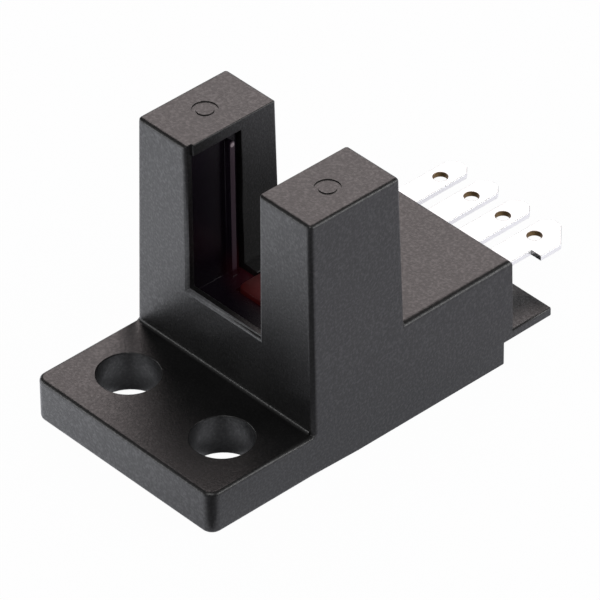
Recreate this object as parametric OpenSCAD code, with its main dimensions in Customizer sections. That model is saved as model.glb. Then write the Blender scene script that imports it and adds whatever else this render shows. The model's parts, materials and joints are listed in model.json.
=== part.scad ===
// Fork sensor: a moulded case with a drilled flange, a fork whose arms hold an infrared emitter and a
// receiver facing each other across a slot, and a row of four flat solder terminals at the rear.
// The origin lies midway between the two mounting holes, on the underside. +X runs along the line of
// the holes, +Y to the terminals and +Z up. All sizes are in millimetres.

/* [Case] */
// Width across flange, body and fork, at the underside
body_w = 13.4; // [12.6:0.1:17]
// Height of the fork's tips above the underside
total_h = 15.5; // [14.8:0.1:20]
// Height of the body behind the fork, which is also the height of the slot's floor
body_h = 6.35; // [6.2:0.05:7.2]
// Length from the fork's front face to the body's rear face
body_len = 14; // [13:0.1:20]
// Depth of the fork at its foot, from front face to rear face
fork_depth = 6.45; // [6.2:0.05:8]
// Mould draft of the case's upright faces, in degrees
draft_deg = 1.2; // [0:0.1:1.5]
// Mould draft of the fork's front face, in degrees
front_draft_deg = 0.7; // [0:0.1:1.2]
// Thickness of the case's side walls and of its roof
wall = 0.8; // [0.6:0.05:0.9]
// Thickness of the fork's front wall, at its foot
front_wall = 0.6; // [0.45:0.05:0.75]
// Thickness of the fork's rear wall, at its foot
fork_rear_wall = 0.7; // [0.5:0.05:0.9]
// Thickness of the roof over each arm
tip_wall = 0.7; // [0.5:0.05:1]
// Thickness of the body's rear wall
rear_wall = 1.3; // [1:0.05:1.8]

/* [Mounting flange] */
// Length of the flange in front of the fork
flange_len = 7; // [6.2:0.1:10]
// Thickness of the flange
flange_t = 2.6; // [1.8:0.1:3.4]
// Radius of the flange's front corners
flange_corner_r = 0.65; // [0.3:0.05:1.6]
// Diameter of the mounting holes
hole_d = 3.4; // [2.2:0.1:3.8]
// Distance between the mounting holes
hole_pitch = 7.1; // [6:0.1:8]
// Distance from the line of the holes to the fork's front face
hole_setback = 3.35; // [2.6:0.05:4]
// Width of the broken edge round the foot of each hole
hole_rim = 0.25; // [0.05:0.01:0.4]

/* [Sensing slot] */
// Width of the slot between the fork's inner walls
slot_w = 5.3; // [4.8:0.05:6]
// Depth of the relief in the left arm's front wall, beside the slot
lip_relief = 0.15; // [0.05:0.05:0.3]
// Height of the sill in the front wall above the slot's floor
sill_rise = 0.25; // [0.1:0.05:0.8]
// Thickness of the fork's inner walls
slot_wall = 0.6; // [0.45:0.05:0.75]
// Distance from the fork's front face to the rear edge of the window opening
window_end = 3.85; // [3.6:0.05:4.4]
// Depth of the filter's face behind the fork's inner walls
window_recess = 0.3; // [0.2:0.05:0.4]
// Clear distance between the two aperture ribs
sensing_gap = 5; // [4.4:0.05:5.2]
// Width of each aperture rib
rib_w = 0.3; // [0.25:0.05:0.6]
// Distance from the fork's front face to the optical axis
axis_y = 3.1; // [3.1:0.05:3.5]
// Depth of the optical axis below the fork's tips
axis_drop = 3.4; // [3:0.1:4.2]
// Outer diameter of the ring sunk in each tip to mark the optical axis
mark_d = 1.4; // [0.8:0.1:2]
// Width of that ring's groove
mark_line = 0.22; // [0.1:0.02:0.35]
// Depth of that ring's groove
mark_depth = 0.05; // [0.03:0.01:0.2]

/* [Connector end] */
// Length of the guide shelf behind the body
shelf_len = 2.8; // [1.5:0.1:4]
// Thickness of the guide shelf
shelf_t = 0.5; // [0.4:0.05:0.8]
// Height of the guide shelf's underside
shelf_z = 1.4; // [1.2:0.05:1.8]
// Radius of the guide shelf's rear corners
shelf_corner_r = 0.12; // [0.1:0.02:0.8]
// Step in the rear face below the guide shelf
heel_step = 0.55; // [0.3:0.05:0.7]
// Radius of the upright corners of that step
heel_corner_r = 0.15; // [0.1:0.05:0.7]
// Distance from one terminal to the next
terminal_pitch = 2.36; // [2.1:0.02:2.5]
// Width of each terminal
terminal_w = 1.56; // [1.2:0.02:1.7]
// Thickness of the terminals
terminal_t = 0.32; // [0.25:0.01:0.45]
// Length of the terminals behind the body
terminal_len = 6.3; // [4.5:0.05:8]
// Height of the terminals' upper face
terminal_z = 3.87; // [3.6:0.01:4.4]
// Diameter of the wire hole in each terminal
wire_hole_d = 0.8; // [0.6:0.05:1.1]
// Distance from each terminal's tip to its wire hole
wire_hole_inset = 1.7; // [1.2:0.05:2.2]
// Cut across each corner of a terminal's tip
tip_cut = 0.5; // [0.2:0.05:0.55]
// Width of the lug on the outer edge of the supply terminal
lug_w = 0.72; // [0.4:0.02:0.9]
// Distance from the wire hole back to that lug's shoulder
lug_inset = 1; // [0.6:0.05:1.4]

/* [Base cover] */
// Thickness of the base cover
cover_t = 0.9; // [0.7:0.05:1]
// Thickness of the case's rim round the base cover
cover_rim = 0.5; // [0.4:0.05:0.55]
// Thickness of the case's wall left in front of the base cover
cover_front_rim = 0.25; // [0.15:0.05:0.35]
// Diameter of the base cover's posts, which carry the circuit board
post_d = 1; // [0.8:0.05:1.3]

/* [Filter and indicator] */
// Thickness of the filter's walls behind the case
filter_t = 0.45; // [0.35:0.05:0.5]
// Gap between the top of each aperture rib and the window opening
rib_top_gap = 0.25; // [0.1:0.05:0.6]
// Width of the indicator's lens
lens_w = 3.2; // [2:0.1:3.4]
// Distance from the fork's front face to the front of the lens
lens_front = 2.4; // [2.1:0.05:2.6]
// Distance from the fork's front face to the rear of the lens
lens_rear = 4.7; // [4.4:0.05:4.9]
// Width of the flange round the lens that seats under the filter
lens_flange = 0.4; // [0.2:0.05:0.6]
// Thickness of that flange
lens_flange_t = 0.4; // [0.3:0.05:0.6]
// Side of the square light pipe below the lens
pipe_w = 1.2; // [0.8:0.1:1.6]

/* [Circuit board] */
// Height of the board's underside
board_z = 2; // [1.8:0.05:2.2]
// Thickness of the board
board_t = 0.8; // [0.6:0.05:0.9]
// Gap between the board and the case's walls
board_gap = 0.2; // [0.1:0.05:0.35]
// Width of the stops inside the case that hold the board down on the base cover's posts
stop_w = 0.8; // [0.5:0.05:1.2]
// Length of the component leads below the board
lead_stub = 0.4; // [0.2:0.05:0.5]
// Width of the solder fillet round each lead and foot, under the board
solder_w = 0.28; // [0.2:0.02:0.34]
// Distance from the body's rear wall to the terminals' feet
foot_inset = 1.5; // [1.2:0.05:2]
// Width of each terminal's foot, where it goes through the board
foot_w = 0.8; // [0.6:0.05:1]

/* [Emitter and receiver] */
// Width of the emitter's and the receiver's package, along the fork's depth
package_w = 3; // [2.4:0.1:3.4]
// Gap between those packages and the outer wall of their arm
package_gap = 0.18; // [0.1:0.02:0.3]
// Height of those packages
package_h = 3.8; // [3.2:0.1:4.2]
// Diameter of the lens on each package
dome_d = 2; // [1.4:0.1:2.2]
// Height of the lens on each package
dome_h = 0.35; // [0.2:0.05:0.4]
// Thickness of the packages' square leads
lead_w = 0.42; // [0.3:0.02:0.5]
// Distance between the receiver's neighbouring leads; the emitter's two stand twice as far apart
lead_pitch = 1.0; // [0.9:0.05:1.15]

/* [Board components] */
// Length of the chip resistors, the capacitor and the indicator
chip_len = 1.6; // [1.2:0.1:1.8]
// Width of those chips
chip_w = 0.8; // [0.6:0.05:1]
// Height of the chip resistors
resistor_h = 0.45; // [0.35:0.05:0.6]
// Height of the chip capacitor
capacitor_h = 0.8; // [0.6:0.05:1]
// Height of the indicator's chip, without its dome
indicator_h = 0.5; // [0.4:0.05:0.6]
// Length of the output transistor's moulding
transistor_len = 2.9; // [2.6:0.1:3.1]
// Width of the output transistor's moulding
transistor_w = 1.3; // [1.1:0.05:1.5]
// Height of the output transistor
transistor_h = 1; // [0.8:0.05:1.2]
// Length of the protection diode's moulding
diode_len = 1.7; // [1.5:0.05:2]
// Width of the protection diode's moulding
diode_w = 1.25; // [1:0.05:1.4]
// Height of the protection diode
diode_h = 0.9; // [0.7:0.05:1.1]
// Gap between the leads behind the arms and the resistors in front of them
part_gap = 0.7; // [0.4:0.05:0.9]

/* [Fits] */
// Clearance round pieces that fit inside one another
fit = 0.05; // [0.02:0.01:0.08]
// Clearance round leads and feet in the board's holes
board_hole_gap = 0.12; // [0.08:0.01:0.16]

/* [Hidden] */
$fn = 48;
over = 1;

// Places along the part
draft = tan(draft_deg);
half_w = body_w / 2;
fork_y = hole_setback;
fork_rear_y = fork_y + fork_depth;
flange_y = fork_y - flange_len;
rear_y = fork_y + body_len;
heel_y = rear_y - heel_step;
shelf_y = rear_y + shelf_len;
tip_half_w = half_w - (total_h - flange_t) * draft;

// The hollow inside the case
hollow_half_w = half_w - wall;
hollow_y0 = fork_y + front_wall;
hollow_y1 = rear_y - rear_wall;
roof_z = body_h - wall;
arm_x0 = slot_w / 2 + slot_wall;
arm_x1 = tip_half_w - wall;
arm_y1 = fork_rear_y - fork_rear_wall;
arm_z1 = total_h - tip_wall;
window_y = fork_y + window_end;

// The filter, which stands in the window opening and behind the inner walls
face_x = slot_w / 2 + window_recess;
back_x0 = arm_x0 + fit;
back_x1 = back_x0 + filter_t;
filter_y0 = hollow_y0 + fit;
filter_y1 = arm_y1 - fit;
filter_z1 = arm_z1 - fit;
floor_z1 = roof_z - fit;
floor_z0 = floor_z1 - filter_t;
floor_face_z = body_h - window_recess;

// The board and what stands on it
board_top = board_z + board_t;
board_x = hollow_half_w - board_gap;
board_y0 = hollow_y0 + board_gap;
board_y1 = hollow_y1 - board_gap;
lens_y = fork_y + (lens_front + lens_rear) / 2;
axis_z = total_h - axis_drop;
optic_y = fork_y + axis_y;
dome_x = back_x1 + fit;
package_x0 = dome_x + dome_h;
package_t = arm_x1 - package_gap - package_x0;
lead_x = package_x0 + package_t / 2;
lead_bottom = board_z - lead_stub;
package_z0 = axis_z - package_h / 2;
terminal_z0 = terminal_z - terminal_t;
foot_y = hollow_y1 - foot_inset;
terminal_tip_y = rear_y + terminal_len;
wire_hole_y = terminal_tip_y - wire_hole_inset;
terminal_x = [for (i = [0 : 3]) (i - 1.5) * terminal_pitch];
open_mid = (arm_y1 + chip_w + foot_y - terminal_t) / 2;
resistor_y = open_mid - transistor_w / 2 - chip_w - part_gap - chip_w / 2;

// Extrudes an outline drawn as (Y, Z) across the width, between two places on X.
module across(x0, x1) {
    translate([x0, 0, 0]) rotate([90, 0, 90]) linear_extrude(x1 - x0) children();
}

// Extrudes an outline drawn as (X, Z) along the length, between two places on Y.
module along(y0, y1) {
    translate([0, y1, 0]) rotate([90, 0, 0]) linear_extrude(y1 - y0) children();
}

// A block given by its lowest and highest corners.
module block(low, high) {
    translate(low) cube(high - low);
}

// Puts its children on both sides of the part's middle plane.
module both_sides() {
    children();
    mirror([1, 0, 0]) children();
}

// A plate with a straight end on its near side and two rounded corners on its far side, as an outline
// that is centred on X and runs from y0 to y1.
module round_ended(half, y0, y1, r) {
    translate([-half, y0]) square([2 * half, y1 - y0 - r]);
    translate([r - half, y0]) square([2 * (half - r), y1 - y0]);
    for (side = [-1, 1]) translate([side * (half - r), y1 - r]) circle(r);
}

// The case's upright profile seen from the side, from the fork to the heel, without flange and shelf.
module side_outline() {
    fork_top_y0 = fork_y + (total_h - flange_t) * tan(front_draft_deg);
    fork_top_y1 = fork_rear_y - (total_h - body_h) * draft;
    polygon([
        [fork_y, 0], [rear_y, 0], [rear_y, body_h], [fork_rear_y, body_h],
        [fork_top_y1, total_h], [fork_top_y0, total_h], [fork_y, flange_t]
    ]);
}

// The case's profile seen from the front, straight up to the flange's top and drafted above it.
module front_outline() {
    polygon([
        [-half_w, 0], [half_w, 0], [half_w, flange_t],
        [tip_half_w, total_h], [-tip_half_w, total_h], [-half_w, flange_t]
    ]);
}

// The flange, with its two rounded front corners.
module flange() {
    linear_extrude(flange_t) mirror([0, 1, 0])
        round_ended(half_w, -fork_y - over, -flange_y, flange_corner_r);
}

// The case from outside: fork, body, flange and shelf, with the rear face stepped in under the shelf.
module case_outside() {
    difference() {
        intersection() {
            across(-half_w - over, half_w + over) side_outline();
            along(flange_y, shelf_y) front_outline();
        }
        difference() {
            block([-half_w - over, hollow_y1, -over], [half_w + over, rear_y + over, shelf_z]);
            translate([0, 0, -2 * over]) linear_extrude(shelf_z + 4 * over)
                round_ended(half_w, hollow_y1 - over, heel_y, heel_corner_r);
        }
    }
    flange();
    translate([0, 0, shelf_z]) linear_extrude(shelf_t)
        round_ended(half_w, hollow_y1, shelf_y, shelf_corner_r);
}

// The slot through the fork, wider at the left in the front wall, which also stands up as a sill.
module slot_cut() {
    lip_x = slot_w / 2 + lip_relief;
    block([-lip_x, fork_y - over, body_h + sill_rise], [slot_w / 2, hollow_y0, total_h + over]);
    block([-slot_w / 2, hollow_y0, body_h], [slot_w / 2, fork_rear_y + over, total_h + over]);
}

// The window opening in the slot's two walls and its floor.
module window_cut() {
    block([-arm_x0 - fit, hollow_y0, roof_z - fit], [arm_x0 + fit, window_y, arm_z1]);
}

// The hollow of the body, of both arms and of the seat for the base cover.
module hollow_cut() {
    block([-hollow_half_w, hollow_y0, cover_t - fit], [hollow_half_w, hollow_y1, roof_z]);
    both_sides() block([arm_x0, hollow_y0, roof_z - fit], [arm_x1, arm_y1, arm_z1]);
    block([cover_rim - half_w, fork_y + cover_front_rim, -over], [half_w - cover_rim, heel_y - cover_rim, cover_t]);
}

// One mounting hole with its broken lower edge.
module mounting_hole() {
    translate([0, 0, -over]) cylinder(h = flange_t + 2 * over, d = hole_d);
    translate([0, 0, -hole_rim])
        cylinder(h = 2 * hole_rim, d1 = hole_d + 4 * hole_rim, d2 = hole_d);
}

// The ring sunk in an arm's tip above the optical axis.
module axis_mark() {
    translate([(slot_w / 2 + tip_half_w) / 2, optic_y, total_h - mark_depth]) difference() {
        cylinder(h = mark_depth + over, d = mark_d);
        translate([0, 0, -over]) cylinder(h = mark_depth + 3 * over, d = mark_d - 2 * mark_line);
    }
}

// The passage through the rear wall for one terminal.
module terminal_cut() {
    block(
        [-terminal_w / 2 - fit, hollow_y1 - over, terminal_z0 - fit],
        [terminal_w / 2 + fit, rear_y + over, terminal_z + fit]
    );
}

// The opening in the slot's floor for the rear part of the indicator's lens.
module lens_cut() {
    block([-lens_w / 2 - fit, window_y - fit, roof_z - fit], [lens_w / 2 + fit, fork_y + lens_rear + fit, body_h + over]);
}

// The stops on the right-hand wall of the hollow, which end just above the board.
module board_stops() {
    for (y = [arm_y1 + stop_w, board_y1 - stop_w]) block(
        [hollow_half_w - stop_w, y - stop_w / 2, board_top + fit],
        [hollow_half_w + fit, y + stop_w / 2, roof_z + fit]
    );
}

module housing() {
    color([0.07, 0.07, 0.075]) {
        difference() {
            case_outside();
            slot_cut();
            window_cut();
            hollow_cut();
            lens_cut();
            both_sides() axis_mark();
            for (side = [-1, 1]) translate([side * hole_pitch / 2, 0, 0]) mounting_hole();
            for (x = terminal_x) translate([x, 0, 0]) terminal_cut();
        }
        both_sides() board_stops();
    }
}

// One post of the base cover, reaching up to the board's underside.
module board_post(x, y) {
    translate([x, y, cover_t - fit]) cylinder(h = board_z - cover_t + fit, d = post_d);
}

module base_cover() {
    post_front_x = hollow_half_w / 2;
    post_rear_x = hollow_half_w - board_gap - post_d;
    color([0.06, 0.06, 0.065]) {
        block(
            [cover_rim + fit - half_w, fork_y + cover_front_rim + fit, 0],
            [half_w - cover_rim - fit, heel_y - cover_rim - fit, cover_t - fit / 2]
        );
        both_sides() {
            board_post(post_front_x, board_y0 + post_d);
            board_post(post_rear_x, open_mid);
        }
    }
}

// One wall of the filter: the plate behind the case, the face in the opening and the aperture rib.
module filter_wall() {
    face_y1 = window_y - fit;
    rib_z1 = arm_z1 - rib_top_gap - rib_w / 2;
    block([back_x0, filter_y0, floor_z0], [back_x1, filter_y1, filter_z1]);
    block([face_x, filter_y0, floor_z0], [back_x0 + fit, face_y1, filter_z1]);
    block([sensing_gap / 2, optic_y - rib_w / 2, floor_z1], [face_x + fit, optic_y + rib_w / 2, rib_z1]);
    translate([sensing_gap / 2, optic_y, rib_z1]) rotate([0, 90, 0])
        cylinder(h = face_x + fit - sensing_gap / 2, d = rib_w);
}

module slot_filter() {
    color([0.16, 0.02, 0.03]) difference() {
        union() {
            both_sides() filter_wall();
            block([-back_x1, filter_y0, floor_z0], [back_x1, filter_y1, floor_z1]);
            block([-back_x0, filter_y0, floor_z0], [back_x0, window_y - fit, floor_face_z]);
        }
        block([-lens_w / 2 - fit, fork_y + lens_front - fit, floor_z0 - over],
            [lens_w / 2 + fit, fork_y + lens_rear + fit, body_h + over]);
    }
}

module indicator_lens() {
    flange_z1 = floor_z0 - fit;
    flange_z0 = flange_z1 - lens_flange_t;
    pipe_z0 = board_top + indicator_h + chip_w / 2 + fit;
    color([0.75, 0.08, 0.06]) {
        block([-lens_w / 2, fork_y + lens_front, flange_z0], [lens_w / 2, fork_y + lens_rear, body_h]);
        block([-lens_w / 2 - lens_flange, fork_y + lens_front - lens_flange, flange_z0],
            [lens_w / 2 + lens_flange, fork_y + lens_rear + lens_flange, flange_z1]);
        block([-pipe_w / 2, lens_y - pipe_w / 2, pipe_z0], [pipe_w / 2, lens_y + pipe_w / 2, flange_z0 + fit]);
    }
}

// The place of each lead of the emitter or the receiver along Y.
function lead_ys(count) = [for (i = [0 : count - 1]) optic_y + (i - (count - 1) / 2) * lead_pitch * 2 / (count - 1)];

module circuit_board() {
    hole_side = lead_w + 2 * board_hole_gap;
    color([0.1, 0.35, 0.18]) difference() {
        block([-board_x, board_y0, board_z], [board_x, board_y1, board_top]);
        for (y = lead_ys(2)) translate([-lead_x, y, board_z - over])
            cylinder(h = board_t + 2 * over, d = hole_side * sqrt(2));
        for (y = lead_ys(3)) translate([lead_x, y, board_z - over])
            cylinder(h = board_t + 2 * over, d = hole_side * sqrt(2));
        for (x = terminal_x) translate([x, 0, 0]) block(
            [-foot_w / 2 - board_hole_gap, foot_y - board_hole_gap, board_z - over],
            [foot_w / 2 + board_hole_gap, foot_y + terminal_t + board_hole_gap, board_top + over]
        );
    }
}

// A package of the right-hand arm: a moulded block with a domed lens that looks at the slot.
module optical_package() {
    dome_r = (dome_d * dome_d / 4 + dome_h * dome_h) / (2 * dome_h);
    block([package_x0, optic_y - package_w / 2, package_z0],
        [package_x0 + package_t, optic_y + package_w / 2, package_z0 + package_h]);
    intersection() {
        translate([dome_x + dome_r, optic_y, axis_z]) sphere(dome_r, $fn = 96);
        translate([dome_x - over, optic_y, axis_z]) rotate([0, 90, 0])
            cylinder(h = dome_h + over + fit, d = dome_d + over);
    }
}

// The leads of such a package, which run down through the board.
module package_leads(count) {
    for (y = lead_ys(count)) block(
        [lead_x - lead_w / 2, y - lead_w / 2, lead_bottom],
        [lead_x + lead_w / 2, y + lead_w / 2, package_z0]
    );
}

module emitter() {
    color([0.55, 0.62, 0.75]) mirror([1, 0, 0]) optical_package();
}

module emitter_leads() {
    color([0.75, 0.75, 0.74]) mirror([1, 0, 0]) package_leads(2);
}

module receiver() {
    color([0.08, 0.08, 0.1]) optical_package();
}

module receiver_leads() {
    color([0.75, 0.75, 0.74]) package_leads(3);
}

// One flat terminal with its wire hole, cut tip corners and a foot that goes down through the board.
module terminal(x) {
    half = terminal_w / 2;
    translate([x, 0, 0]) {
        translate([0, 0, terminal_z0]) linear_extrude(terminal_t) difference() {
            polygon([
                [-half, foot_y], [half, foot_y], [half, terminal_tip_y - tip_cut],
                [half - tip_cut, terminal_tip_y], [tip_cut - half, terminal_tip_y],
                [-half, terminal_tip_y - tip_cut]
            ]);
            translate([0, wire_hole_y]) circle(d = wire_hole_d);
        }
        block([-foot_w / 2, foot_y, lead_bottom], [foot_w / 2, foot_y + terminal_t, terminal_z0]);
    }
}

module ground_terminal() {
    color([0.86, 0.86, 0.85]) terminal(terminal_x[0]);
}

module output_terminal() {
    color([0.86, 0.86, 0.85]) terminal(terminal_x[1]);
}

module mode_terminal() {
    color([0.86, 0.86, 0.85]) terminal(terminal_x[2]);
}

// The supply terminal has a lug on its outer edge, square behind and cut back to the tip in front.
module supply_terminal() {
    cut_y = terminal_tip_y - tip_cut;
    shoulder_y = wire_hole_y - lug_inset;
    color([0.86, 0.86, 0.85]) {
        terminal(terminal_x[3]);
        translate([terminal_x[3] + terminal_w / 2, 0, terminal_z0]) linear_extrude(terminal_t) polygon([
            [-fit, shoulder_y], [lug_w, shoulder_y], [lug_w, cut_y - lug_w], [-fit, cut_y + fit]
        ]);
    }
}

// A chip that lies on the board with its length along X, centred on a place.
module chip(x, y, length, width, height) {
    block([x - length / 2, y - width / 2, board_top], [x + length / 2, y + width / 2, board_top + height]);
}

module indicator() {
    color([0.95, 0.75, 0.7]) {
        chip(0, lens_y, chip_len, chip_w, indicator_h);
        intersection() {
            translate([0, lens_y, board_top + indicator_h]) sphere(chip_w / 2);
            chip(0, lens_y, chip_len, chip_w, indicator_h + chip_w / 2);
        }
    }
}

// A moulding with sloped sides that stands on a foot's height above the board.
module moulded_body(x, y, length, width, height, lift) {
    slope = height * tan(7);
    translate([0, y + width / 2, board_top]) rotate([90, 0, 0]) linear_extrude(width) polygon([
        [x - length / 2 + slope, lift], [x + length / 2 - slope, lift], [x + length / 2, height / 2 + lift / 2],
        [x + length / 2 - slope, height], [x - length / 2 + slope, height], [x - length / 2, height / 2 + lift / 2]
    ]);
}

// A strip bent twice: a foot on the board, a riser and a short arm into a moulding on its +Y side.
module gull_lead(x, y, rise) {
    strip = lead_w / 2;
    across(x - lead_w / 2, x + lead_w / 2) polygon([
        [y - chip_w, board_top], [y - strip, board_top], [y - strip, board_top + rise],
        [y, board_top + rise], [y, board_top + rise + strip], [y - 2 * strip, board_top + rise + strip],
        [y - 2 * strip, board_top + strip], [y - chip_w, board_top + strip]
    ]);
}

transistor_x = hollow_half_w / 2;
diode_x = -transistor_x;
lead_rise = transistor_h / 3;

module output_transistor() {
    color([0.1, 0.1, 0.11])
        moulded_body(transistor_x, open_mid, transistor_len, transistor_w, transistor_h, fit);
}

module transistor_leads() {
    reach = transistor_w / 2;
    color([0.75, 0.75, 0.74]) {
        for (side = [-1, 1]) gull_lead(transistor_x + side * transistor_len / 3, open_mid - reach, lead_rise);
        translate([0, 2 * open_mid, 0]) mirror([0, 1, 0]) gull_lead(transistor_x, open_mid - reach, lead_rise);
    }
}

module protection_diode() {
    color([0.1, 0.1, 0.11]) moulded_body(diode_x, open_mid, diode_len, diode_w, diode_h, fit);
}

module diode_leads() {
    reach = diode_w / 2;
    color([0.75, 0.75, 0.74]) for (turn = [0, 1])
        translate([0, turn * 2 * open_mid, 0]) mirror([0, turn, 0]) gull_lead(diode_x, open_mid - reach, diode_h / 3);
}

module emitter_resistor() {
    color([0.15, 0.15, 0.17]) chip(diode_x, resistor_y, chip_len, chip_w, resistor_h);
}

module indicator_resistor() {
    color([0.15, 0.15, 0.17]) chip(0, open_mid - chip_w, chip_len, chip_w, resistor_h);
}

module base_resistor() {
    color([0.15, 0.15, 0.17]) chip(transistor_x, resistor_y, chip_len, chip_w, resistor_h);
}

module supply_capacitor() {
    color([0.7, 0.55, 0.38]) chip(0, open_mid + chip_w, chip_len, chip_w, capacitor_h);
}

// A solder fillet under the board round a lead of the given section, with its widest ring on the board.
module fillet(x, y, section) {
    reach = norm(section) / 2;
    translate([x, y, lead_bottom]) difference() {
        cylinder(h = lead_stub, r1 = reach, r2 = reach + solder_w);
        translate([-section[0] / 2, -section[1] / 2, -over]) cube([section[0], section[1], lead_stub + 2 * over]);
    }
}

module solder_joints() {
    color([0.72, 0.72, 0.71]) {
        for (y = lead_ys(2)) fillet(-lead_x, y, [lead_w, lead_w]);
        for (y = lead_ys(3)) fillet(lead_x, y, [lead_w, lead_w]);
        for (x = terminal_x) fillet(x, foot_y + terminal_t / 2, [foot_w, terminal_t]);
    }
}

housing();
base_cover();
slot_filter();
indicator_lens();
circuit_board();
emitter();
emitter_leads();
receiver();
receiver_leads();
indicator();
supply_terminal();
mode_terminal();
output_terminal();
ground_terminal();
output_transistor();
transistor_leads();
protection_diode();
diode_leads();
emitter_resistor();
indicator_resistor();
base_resistor();
supply_capacitor();
solder_joints();
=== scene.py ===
"""A fork sensor: rounded mouldings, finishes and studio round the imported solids.

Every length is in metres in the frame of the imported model: the origin lies midway between the two
mounting holes on the underside, +X runs along the holes, +Y to the terminals and +Z up.
"""

import json
import logging
import math
from abc import ABC, abstractmethod
from dataclasses import dataclass
from enum import Enum
from typing import Callable, Mapping, Sequence, Union

import bmesh
import bpy
import numpy as np
from mathutils import Matrix, Vector


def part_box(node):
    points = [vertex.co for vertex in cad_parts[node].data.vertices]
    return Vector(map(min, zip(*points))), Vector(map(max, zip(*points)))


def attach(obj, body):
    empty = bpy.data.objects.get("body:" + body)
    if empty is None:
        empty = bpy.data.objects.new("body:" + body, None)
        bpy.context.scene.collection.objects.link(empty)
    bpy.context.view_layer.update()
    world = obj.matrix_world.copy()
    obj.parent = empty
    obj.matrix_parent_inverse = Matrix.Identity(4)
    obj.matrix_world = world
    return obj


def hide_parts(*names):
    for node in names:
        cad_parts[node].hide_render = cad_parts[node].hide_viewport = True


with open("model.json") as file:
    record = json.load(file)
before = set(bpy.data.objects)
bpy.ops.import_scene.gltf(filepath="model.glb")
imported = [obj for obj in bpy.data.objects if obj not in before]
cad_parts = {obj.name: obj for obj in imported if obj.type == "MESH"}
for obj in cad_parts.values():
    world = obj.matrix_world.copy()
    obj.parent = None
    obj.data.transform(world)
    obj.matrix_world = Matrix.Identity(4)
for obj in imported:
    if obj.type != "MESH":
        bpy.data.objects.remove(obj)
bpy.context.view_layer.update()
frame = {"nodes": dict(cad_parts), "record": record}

LOG = logging.getLogger("fork_sensor")
MM = 0.001
CREASE_DEG = 35.0
BODY = "root"
Colour = tuple[float, float, float]
Number = Union["Wire", float]
Socket = Union["Wire", float, Sequence[float]]
Owner = Union[bpy.types.Material, bpy.types.World]


class Maths(Enum):
    """The operations that a Math node is asked for."""

    ADD = "ADD"
    SUBTRACT = "SUBTRACT"
    MULTIPLY = "MULTIPLY"
    DIVIDE = "DIVIDE"
    MAXIMUM = "MAXIMUM"
    ABSOLUTE = "ABSOLUTE"
    FRACTION = "FRACT"
    ROOT = "SQRT"


class Wire:
    """One output of a shader node: arithmetic on it adds Math nodes to its tree."""

    def __init__(self, shader: "Shader", socket: bpy.types.NodeSocket) -> None:
        """Keeps the tree and the socket.

        Args:
            shader: The tree that the socket is in.
            socket: The output that this value comes from.
        """
        self.shader = shader
        self.socket = socket

    def __add__(self, other: Number) -> "Wire":
        """The sum of two values."""
        return self.shader.math(Maths.ADD, self, other)

    def __radd__(self, other: Number) -> "Wire":
        """The sum of a number and this value."""
        return self.shader.math(Maths.ADD, other, self)

    def __sub__(self, other: Number) -> "Wire":
        """This value less another."""
        return self.shader.math(Maths.SUBTRACT, self, other)

    def __rsub__(self, other: Number) -> "Wire":
        """A number less this value."""
        return self.shader.math(Maths.SUBTRACT, other, self)

    def __mul__(self, other: Number) -> "Wire":
        """The product of two values."""
        return self.shader.math(Maths.MULTIPLY, self, other)

    def __rmul__(self, other: Number) -> "Wire":
        """The product of a number and this value."""
        return self.shader.math(Maths.MULTIPLY, other, self)

    def __truediv__(self, other: Number) -> "Wire":
        """This value over another."""
        return self.shader.math(Maths.DIVIDE, self, other)

    def __abs__(self) -> "Wire":
        """The size of this value."""
        return self.shader.math(Maths.ABSOLUTE, self)

    def fraction(self) -> "Wire":
        """What is left of this value after its whole number."""
        return self.shader.math(Maths.FRACTION, self)

    def root(self) -> "Wire":
        """The square root of this value."""
        return self.shader.math(Maths.ROOT, self)

    def largest(self, other: Number) -> "Wire":
        """The larger of two values."""
        return self.shader.math(Maths.MAXIMUM, self, other)

    def step(self, low: float, high: float) -> "Wire":
        """A smooth step from 0 at one value to 1 at another.

        Args:
            low: The value that gives 0.
            high: The value that gives 1, which may be the lower of the two.

        Returns:
            The stepped value.
        """
        flip = low > high
        ends = {"From Min": min(low, high), "From Max": max(low, high)}
        stepped = self.shader.node(
            "ShaderNodeMapRange",
            {"interpolation_type": "SMOOTHSTEP", "clamp": True},
            {"Value": self, **ends},
        )
        return 1.0 - stepped if flip else stepped


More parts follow.
